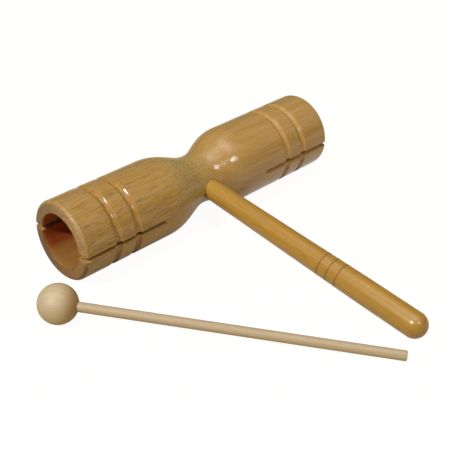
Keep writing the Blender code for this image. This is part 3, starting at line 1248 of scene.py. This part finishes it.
    def edges(self, line: BlockOutline) -> tuple[Array, Array, Array]:
        """The lip rows at both edges of a half shell.

        The kerfs open at both edges, and the handle's bore at the -Y edge alone.

        Args:
            line: The turned outline.

        Returns:
            Heights over the plane of the kerfs, depths below the surface, and how far the rows are sawn, each
            of shape (rows, outline), from the +Y edge inwards and then out to the -Y edge.
        """
        half = self.kerf_width / 2
        past_kerf = np.maximum(half + self.from_end(line.along) - self.kerf_length, 0.0)
        past_bore = np.abs(line.along - self.bore_middle())
        kerf = opening(past_kerf, half, self.kerf_lip, self.lip_steps)
        bore = opening(past_bore, self.bore_radius, self.bore_lip, self.lip_steps)
        at_bore = past_bore < 2 * self.bore_radius
        height, depth, cut = (
            np.concatenate([far, np.where(at_bore, near, far)[::-1]])
            for far, near in ((kerf[0], bore[0]), (kerf[1], bore[1]), (kerf[1] / self.kerf_lip, 0.0))
        )
        return height, depth, cut

    def half_shell(self, line: BlockOutline) -> tuple[Array, dict[Mark, Array]]:
        """The half of the block over the plane of the kerfs, as a grid of points (outline, angle).

        Angles run from the +Y edge to the -Y edge. Each edge stands off the plane by the half height of the
        kerf or of the handle's bore, so its angle is asin(height / radius), and its lip's rows are sunk along
        the outline's inward normal. Where nothing opens, the edges lie on the plane and meet the other half.

        Args:
            line: The turned outline.

        Returns:
            Points (outline, column, 3) and the marks at them.
        """
        run, climb = line.direction()
        height, depth, cut = self.edges(line)
        along = line.along + climb * depth
        radius = np.maximum(line.radius - run * depth, 0.0)
        angle = np.arcsin(np.clip(height / np.maximum(radius, NO_RADIUS), 0.0, 1.0))
        rows = self.lip_steps + 1
        angle[rows:] = math.pi - angle[rows:]
        share = np.linspace(0.0, 1.0, self.columns + 2)[1:-1, None]
        between = angle[rows - 1] * (1 - share) + angle[rows] * share
        flat = np.zeros_like(between)
        edges = (along, radius, angle, cut)
        middles = (line.along + flat, line.radius + flat, between, flat)
        along, radius, angle, cut = (
            np.concatenate([edge[:rows], middle, edge[rows:]]) for edge, middle in zip(edges, middles)
        )
        points = np.stack([along, radius * np.cos(angle), radius * np.sin(angle)], axis=-1)
        return points.transpose(1, 0, 2), {**self.turned_marks(line, climb), Mark.SAWN: cut.T}

    def turned_marks(self, line: BlockOutline, climb: Array) -> dict[Mark, Array]:
        """The marks that are the same all round the block.

        Run-out, where the waist is cut down across the grain, rises over the low shoulder and ends past the
        waist's middle. End grain is the square of the outline's climb on the rims and their rounded edges.

        Args:
            line: The turned outline.
            climb: Its unit steps away from the axis.

        Returns:
            Values of shape (outline, 1).
        """
        outside = np.where(line.chamber > 0, 0.0, 1.0)
        from_end = self.from_end(line.along)
        groove = smooth_step(self.groove_drop(from_end) / self.groove_depth, self.groove_shade_from)
        steep = smooth_step(np.abs(climb), self.flank_slopes)
        run_out = smooth_step(line.along, self.run_out_starts)
        run_out *= 1 - smooth_step(line.along, self.run_out_ends)
        marks = {
            Mark.CHAMBER_SHADE: line.chamber,
            Mark.GROOVE: outside * groove,
            Mark.END_GRAIN: np.where(from_end < self.edge_round, climb**2, 0.0),
            Mark.FLANK: np.where(from_end > self.kerf_length, outside * steep, 0.0),
            Mark.RUN_OUT: outside * run_out,
            Mark.BURN_AND_KERF_SHADE: np.zeros_like(from_end),
        }
        return {mark: values[:, None] for mark, values in marks.items()}

    def turned_to_kerfs(self, points: Array) -> Array:
        """Turn points about the axis by the kerfs' turn, easing off to none at the handle.

        Args:
            points: Points with the kerfs in the XY plane.

        Returns:
            Points of the same shape.
        """
        turn = self.kerf_turn * smooth_step(np.abs(points[..., 0]), self.kerf_turn_from)
        cos, sin = np.cos(turn), np.sin(turn)
        across, up = points[..., 1], points[..., 2]
        return np.stack([points[..., 0], across * cos - up * sin, across * sin + up * cos], axis=-1)

    def skin(self) -> Skin:
        """The whole block: two half shells, the walls of both kerfs on both sides, and the handle's bore.

        Returns:
            The closed surface, with a mark of how low each point of the shells lies under the axis.
        """
        line = self.outline()
        upper, marks = self.half_shell(line)
        halves = [self.turned_to_kerfs(upper * np.array([1.0, 1.0, side])) for side in (1.0, -1.0)]
        low = [{Mark.LOW: smooth_step(-points[..., 2], self.low_from)} for points in halves]
        parts = [grid(points, {**marks, **lowness}) for points, lowness in zip(halves, low)]
        plain = dict.fromkeys([Mark.LOW, *marks], 0.0)
        rims = (line.low_rim, line.high_rim)
        for points in halves:
            for edge in (points[:, 0], points[:, -1]):
                parts += [self.kerf_wall(edge, rim, line.paired, plain) for rim in rims]
        at_bore = np.abs(line.along - self.bore_middle()) < self.bore_radius + WELD_DISTANCE
        mouths = [points[at_bore, -1] for points in halves]
        floors = [self.down_the_bore(mouth) for mouth in mouths]
        # The handle's bore is painted in full chamber shade.
        bore_shade = {**plain, Mark.CHAMBER_SHADE: 1.0}
        parts += [ruled(mouth, floor, self.wall_steps, bore_shade) for mouth, floor in zip(mouths, floors)]
        parts.append(ruled(*floors, 1, bore_shade))
        return Skin.joined(parts)

    def kerf_wall(self, edge: Array, rim: int, paired: int, plain: dict[Mark, float]) -> Skin:
        """One wall of a kerf, plain at the rim, pale sawn wood behind it painted lighter still, and painted
        shade further in.

        The first row is the rim's own edge, and each later row goes straight through the tube's wall.

        Args:
            edge: Points of a half shell's edge along the outline.
            rim: Index of the middle of the rim.
            paired: How many points on each side of that middle pair up, down to the kerf's inner end.
            plain: Every mark that the block carries, at 0.

        Returns:
            The wall's surface.
        """
        flat = self.rim_steps - 1
        step = np.arange(flat + 1, paired)
        share = np.linspace(0.0, 1.0, 2 * flat + 1)[None, :, None]
        rows = edge[rim - step][:, None] * (1 - share) + edge[rim + step][:, None] * share
        points = np.concatenate([edge[None, rim - flat : rim + flat + 1], rows])
        high = edge[rim, 0] > 0
        inward = share[..., 0] if high else 1 - share[..., 0]
        from_rim = self.from_end(points[..., 0])
        kerf_shade_share = smooth_step(from_rim, self.kerf_shade_from_rim) * smooth_step(inward, self.kerf_shade_inwards)
        kerf_shade_share *= self.kerf_shade_at_high_end if high else 1.0
        sawn_and_lit = (1 - kerf_shade_share) * smooth_step(from_rim, self.sawn_from_rim)
        return grid(points, {**plain, Mark.BURN_AND_KERF_SHADE: kerf_shade_share, Mark.SAWN: sawn_and_lit})

    def down_the_bore(self, mouth: Array) -> Array:
        """Move the bore's mouth along the handle's axis to the bore's floor.

        Args:
            mouth: Points of the mouth.

        Returns:
            The floor's points.
        """
        out = np.array([-math.sin(self.handle_lean), -math.cos(self.handle_lean), 0.0])
        reach = (mouth - np.array([self.handle_along, 0.0, 0.0])) @ out - self.bore_floor
        return mouth - reach[:, None] * out


@dataclass(frozen=True)
class Handle(Piece):
    """The turned handle: a tapered shaft with three burnt lines and a domed grip."""

    node: ClassVar[str] = "handle"
    body: ClassVar[Body] = Body.WOODBLOCK
    slot: ClassVar[Slot] = Slot.HANDLE
    finish: ClassVar[WoodFinish] = HANDLE_FINISH

    reach: float = 0.1788
    tenon_end: float = -0.00405
    tenon_chamfer: float = 0.0008
    neck_radius: float = 0.0063
    grip_radius: float = 0.0075
    grip_length: float = 0.0440
    neck_at: float = 0.01565
    line_from_tip: float = 0.0573
    line_pitch: float = 0.0066
    line_count: int = 3
    line_half_width: float = 0.00050
    line_depth: float = 0.00020
    char_spread: float = 0.00050
    sides: int = 96
    shaft_samples: int = 90
    line_samples: int = 27
    line_sampled: float = 0.0013
    dome_samples: int = 28

    def line_places(self) -> Array:
        """Where the burnt lines are, from the block's axis."""
        return self.reach - self.line_from_tip - self.line_pitch * np.arange(self.line_count)

    def from_line(self, along: Array) -> Array:
        """Distance to the nearest burnt line."""
        return np.min(np.abs(along[:, None] - self.line_places()), axis=1)

    def shaft_radius(self, along: Array) -> Array:
        """A straight taper from the neck to the grip, less a cosine dip at each burnt line.

        Args:
            along: Distances from the block's axis.

        Returns:
            The radii there.
        """
        share = (along - self.neck_at) / (self.reach - self.grip_length - self.neck_at)
        taper = self.neck_radius + (self.grip_radius - self.neck_radius) * np.clip(share, 0.0, 1.0)
        dip = np.clip(self.from_line(along) / self.line_half_width, 0.0, 1.0)
        return taper - self.line_depth * (1 + np.cos(math.pi * dip)) / 2

    def skin(self) -> Skin:
        """Spin the outline from the tenon's end over the shaft to the tip of the dome.

        Returns:
            The closed surface, marked with exp(-(d / spread)^2) for the char at a distance d from a burnt
            line, and on the dome with the square of the share of its height.
        """
        start = self.tenon_end + self.tenon_chamfer
        dome_at = self.reach - self.grip_radius
        close = np.linspace(-self.line_sampled, self.line_sampled, self.line_samples)
        lines = self.line_places()[:, None] + close
        along = np.sort(np.concatenate([np.linspace(start, dome_at, self.shaft_samples), lines.ravel()]))
        shaft = np.stack([along, self.shaft_radius(along)], axis=-1)
        tenon = np.array([[self.tenon_end, 0.0], [self.tenon_end, self.neck_radius - self.tenon_chamfer]])
        dome = arc((dome_at, 0.0), self.grip_radius, QUARTER_TURN, 0.0, self.dome_samples)[1:]
        dome[-1, 1] = 0.0
        outline = np.concatenate([tenon, shaft, dome])
        burn = np.exp(-((self.from_line(outline[:, 0]) / self.char_spread) ** 2))
        end_grain = np.clip((outline[:, 0] - dome_at) / self.grip_radius, 0.0, 1.0) ** 2
        return spun(outline, self.sides, {Mark.BURN_AND_KERF_SHADE: burn, Mark.END_GRAIN: end_grain})


@dataclass(frozen=True)
class BeaterHead(Piece):
    """The turned ball, round its own centre, with the stick's hole on its +X side."""

    node: ClassVar[str] = "beater_head"
    body: ClassVar[Body] = Body.BEATER
    slot: ClassVar[Slot] = Slot.HEAD
    finish: ClassVar[WoodFinish] = HEAD_FINISH

    radius: float = 0.01125
    hole_radius: float = 0.00290
    hole_depth: float = 0.0150
    hole_lip: float = 0.00035
    hole_side_spread: float = math.radians(88.0)
    sides: int = 96
    lip_samples: int = 9
    ball_samples: int = 72

    def skin(self) -> Skin:
        """Spin the hole's floor and wall, a rounded lip and the ball.

        The lip is a small arc tangent to the hole's wall and to the ball from inside, so its centre lies a
        lip's radius outside the wall and a lip's radius inside the ball.

        Returns:
            The closed surface, marked over the side round the hole that is painted browner.
        """
        floor = self.radius - self.hole_depth
        lip_up = self.hole_radius + self.hole_lip
        lip_along = math.sqrt((self.radius - self.hole_lip) ** 2 - lip_up**2)
        leave = math.atan2(lip_up, lip_along)
        hole = np.array([[floor, 0.0], [floor, self.hole_radius]])
        lip = arc((lip_along, lip_up), self.hole_lip, 1.5 * math.pi, 2 * math.pi + leave, self.lip_samples)
        ball = arc((0.0, 0.0), self.radius, leave, math.pi, self.ball_samples)[1:]
        ball[-1, 1] = 0.0
        outline = np.concatenate([hole, lip, ball])
        # Painted browner over the ball's side round the hole.
        hole_side_share = 1 - smooth_step(np.arctan2(outline[:, 1], outline[:, 0]), (leave, self.hole_side_spread))
        return spun(outline, self.sides, {Mark.HOLE_SIDE: hole_side_share})


@dataclass(frozen=True)
class BeaterStick(Piece):
    """The dowel from the bottom of the ball's hole to its eased far end, along +X from the ball's centre."""

    node: ClassVar[str] = "beater_stick"
    body: ClassVar[Body] = Body.BEATER
    slot: ClassVar[Slot] = Slot.STICK
    finish: ClassVar[WoodFinish] = STICK_FINISH

    radius: float = 0.0028
    inner_end: float = -0.00345
    outer_end: float = 0.18425
    end_round: float = 0.0006
    sides: int = 64
    shaft_samples: int = 60
    edge_samples: int = 9

    def skin(self) -> Skin:
        """Spin the dowel, with a rounded edge at its far end.

        Returns:
            The closed surface, without marks.
        """
        centre = (self.outer_end - self.end_round, self.radius - self.end_round)
        shaft = np.linspace(self.inner_end, centre[0], self.shaft_samples)
        side = np.stack([shaft, np.full_like(shaft, self.radius)], axis=-1)
        edge = arc(centre, self.end_round, QUARTER_TURN, 0.0, self.edge_samples)[1:]
        face = np.array([[self.outer_end, centre[1] / 2], [self.outer_end, 0.0]])
        return spun(np.concatenate([[[self.inner_end, 0.0]], side, edge, face]), self.sides, {})


@dataclass(frozen=True)
class Layout:
    """Where the pieces lie on the table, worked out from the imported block's box."""

    block: ToneBlock = ToneBlock()
    handle: Handle = Handle()
    head: BeaterHead = BeaterHead()
    stick: BeaterStick = BeaterStick()
    head_past_block: float = 0.0140
    head_beside_axis: float = 0.0309
    stick_end_to_grip: float = 0.0079

    def block_place(self) -> Matrix:
        """The block's frame: its middle, tilted about its axis until the handle's dome lies on the table.

        Returns:
            The placing matrix.
        """
        low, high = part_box("tone_block")
        dome = (self.handle.reach - self.handle.grip_radius) * math.cos(self.block.handle_lean)
        tilt = math.asin((self.block.tube_radius - self.handle.grip_radius) / dome)
        return Matrix.Translation((low + high) / 2) @ Matrix.Rotation(tilt, 4, "X")

    def handle_place(self) -> Matrix:
        """The handle's frame: on the block's axis, with +X out of the waist towards -Y.

        Returns:
            The placing matrix.
        """
        shift = Matrix.Translation((self.block.handle_along, 0.0, 0.0))
        turn = Matrix.Rotation(-QUARTER_TURN - self.block.handle_lean, 4, "Z")
        return self.block_place() @ shift @ turn

    def beater_place(self) -> Matrix:
        """The beater's frame: the ball's centre, with +X along the stick, whose far end lies on the table.

        The ball lies past the block's low end, and the stick ends beside the handle's grip.

        Returns:
            The placing matrix.
        """
        block, handle, head, stick = self.block, self.handle, self.head, self.stick
        middle = self.block_place().translation
        beside = -block.length / 2 - self.head_past_block - head.radius
        slope = math.asin(head.radius / math.hypot(stick.outer_end, stick.radius))
        slope -= math.atan2(stick.radius, stick.outer_end)
        tip = block.handle_along - handle.reach * math.sin(block.handle_lean)
        stick_end = tip - handle.grip_radius - self.stick_end_to_grip - stick.radius
        heading = -math.acos((stick_end - beside) / (stick.outer_end * math.cos(slope)))
        centre = Vector((middle.x + beside, middle.y - self.head_beside_axis, head.radius))
        turn = Matrix.Rotation(heading, 4, "Z") @ Matrix.Rotation(slope, 4, "Y")
        return Matrix.Translation(centre) @ turn

    def places(self) -> list[tuple[Piece, Matrix]]:
        """Every piece with its placing matrix, in the order of building."""
        woodblock = [(self.block, self.block_place()), (self.handle, self.handle_place())]
        return woodblock + [(piece, self.beater_place()) for piece in (self.head, self.stick)]


def bearing_vector(bearing: float, height: float) -> Vector:
    """The direction at a bearing from -Y towards +X and a height over the table, in degrees."""
    turn, rise = math.radians(bearing), math.radians(height)
    return Vector((math.sin(turn) * math.cos(rise), -math.cos(turn) * math.cos(rise), math.sin(rise)))


@dataclass(frozen=True)
class Lamp:
    """A flat soft lamp, aimed at the set from a bearing and a height in degrees."""

    name: str
    bearing: float
    height: float
    distance: float
    width: float
    depth: float
    level: float

    def make(self, aim: Vector) -> bpy.types.Object:
        """Hang the lamp.

        A flat lamp of power P lights a face turned to it from a distance d with P / (pi d^2), and a white
        face lit with pi renders as white, so the power is level pi^2 d^2.

        Args:
            aim: The point that the lamp faces.

        Returns:
            The lamp's object.
        """
        light = bpy.data.lights.new(self.name, "AREA")
        light.shape = "RECTANGLE"
        light.size = self.width
        light.size_y = self.depth
        light.energy = self.level * math.pi**2 * self.distance**2
        lamp = bpy.data.objects.new(self.name, light)
        away = bearing_vector(self.bearing, self.height)
        lamp.location = aim + away * self.distance
        lamp.rotation_euler = away.to_track_quat("Z", "Y").to_euler()
        bpy.context.scene.collection.objects.link(lamp)
        return lamp


@dataclass(frozen=True)
class Studio:
    """A pale table, soft light, and a camera where the photographer stood."""

    aim: Vector = Vector((0.0234, 0.0533, 0.0))
    camera_place: Vector = Vector((-0.33267, -0.30900, 0.32646))
    camera_bearing: float = -44.5183
    camera_height: float = 32.7430
    camera_roll: float = 0.3145
    camera_sees: Span = (0.01, 20.0)
    focal_pixels: float = 975.78
    image_pixels: float = 452.0
    sensor: float = 36.0
    table_half: float = 3.0
    table_steps: int = 8
    table_height: float = -0.00005
    table_colour: Colour = (0.52, 0.43, 0.22)
    table_share: float = 0.80
    table_glow: float = 1.19
    table_mirrored: Span = (0.14, 0.68)
    table_brightens: Span = (-0.04, 0.10)
    table_dims: Span = (0.060, 0.090)
    fill: float = 0.03
    mirrored: float = 0.08
    lamps: tuple[Lamp, ...] = (
        Lamp("key_lamp", -91.0, 47.0, 4.0, 0.30, 0.30, 0.67),
        Lamp("ceiling_glow", 0.0, 87.0, 2.0, 0.50, 1.00, 0.155),
        Lamp("ceiling_panel", 0.0, 87.0, 2.0, 1.05, 1.80, 0.21),
        Lamp("ceiling_spill", 0.0, 87.0, 2.0, 1.50, 2.35, 0.178),
        Lamp("front_spot", -5.0, 41.7, 2.0, 0.38, 0.12, 0.21),
    )

    def make_camera(self) -> bpy.types.Object:
        """Set up a camera at the photograph's place, with its bearing, height and roll.

        Returns:
            The camera's object.
        """
        back = bearing_vector(self.camera_bearing, self.camera_height)
        right = Vector((0.0, 0.0, 1.0)).cross(back).normalized()
        right = Matrix.Rotation(math.radians(self.camera_roll), 3, back) @ right
        turn = Matrix((right, back.cross(right), back)).transposed()
        lens = bpy.data.cameras.new("photo_camera")
        lens.sensor_width = self.sensor
        lens.lens = self.sensor * self.focal_pixels / self.image_pixels
        lens.clip_start, lens.clip_end = self.camera_sees
        camera = bpy.data.objects.new("photo_camera", lens)
        camera.matrix_world = Matrix.Translation(self.camera_place) @ turn.to_4x4()
        bpy.context.scene.collection.objects.link(camera)
        bpy.context.scene.camera = camera
        return camera

    def seen(self, bench: Bench, mirrored: Value) -> Socket:
        """1 for rays from the camera and through glass, and a share for those that it sees mirrored.

        Args:
            bench: Where the nodes go.
            mirrored: The share.

        Returns:
            The mask.
        """
        path = bench.add("ShaderNodeLightPath").outputs
        direct = bench.math("MAXIMUM", path["Is Camera Ray"], path["Is Transmission Ray"])
        return bench.math("MAXIMUM", direct, bench.times(path["Is Glossy Ray"], mirrored))

    def table_material(self) -> bpy.types.Material:
        """Matt and warm for the light that it throws back, and glowing white for the camera.

        Mirrored in the varnish it is dim beside the low tube and behind the set, and brighter elsewhere.

        Returns:
            The material.
        """
        material = bpy.data.materials.new("white_table")
        material.use_nodes = True
        tree = material.node_tree
        tree.nodes.remove(tree.nodes["Principled BSDF"])
        bench = Bench(tree)
        matt = bench.add("ShaderNodeBsdfDiffuse", {"Color": self.table_colour}).outputs[0]
        glow = bench.add("ShaderNodeEmission", {"Strength": self.table_glow}).outputs[0]
        place = bench.axes(bench.add("ShaderNodeTexCoord").outputs["Object"])
        before = bench.math("SUBTRACT", 1.0, bench.ramp(place["Y"], self.table_dims))
        brighter = bench.times(bench.ramp(place["X"], self.table_brightens), before)
        dim, bright = self.table_mirrored
        mirrored = bench.total(dim, (brighter, bright - dim))
        share = bench.times(self.seen(bench, mirrored), self.table_share)
        mixed = bench.add("ShaderNodeMixShader", {0: share, 1: matt, 2: glow}).outputs[0]
        bench.feed(tree.nodes["Material Output"].inputs["Surface"], mixed)
        return material

    def make_table(self) -> bpy.types.Object:
        """Set up a white table top that keeps a faint shadow of the set.

        Returns:
            The table's object.
        """
        side = np.linspace(-self.table_half, self.table_half, self.table_steps + 1)
        across, deep = np.meshgrid(side, side, indexing="ij")
        top = grid(np.stack([across, deep, np.full_like(across, self.table_height)], axis=-1), {})
        table = top.to_object("table_top")
        table.data.materials.append(self.table_material())
        return table

    def make_surround(self) -> None:
        """Set up a white surround, dimmer as a source of light than it looks."""
        world = bpy.data.worlds.new("white_surround")
        world.use_nodes = True
        bpy.context.scene.world = world
        bench = Bench(world.node_tree)
        background = world.node_tree.nodes["Background"].inputs
        bench.feed(background["Color"], WHITE)
        bench.feed(background["Strength"], bench.math("MAXIMUM", self.seen(bench, self.mirrored), self.fill))

    def make(self) -> None:
        """Set up the table, the surround, the lamps and the camera."""
        bpy.context.scene.view_settings.view_transform = "Standard"
        self.make_table()
        self.make_surround()
        for lamp in self.lamps:
            lamp.make(self.aim)
        self.make_camera()


def main() -> None:
    """Build the studio and the four pieces in order."""
    logging.basicConfig(level=logging.INFO, format="%(name)s: %(message)s")
    Studio().make()
    for part, place in Layout().places():
        piece = part.build(place)
        part.dress(piece, place)
        LOG.info("%s: %d faces on %s", piece.name, len(piece.data.polygons), part.body.value)


if __name__ == "__main__":
    main()
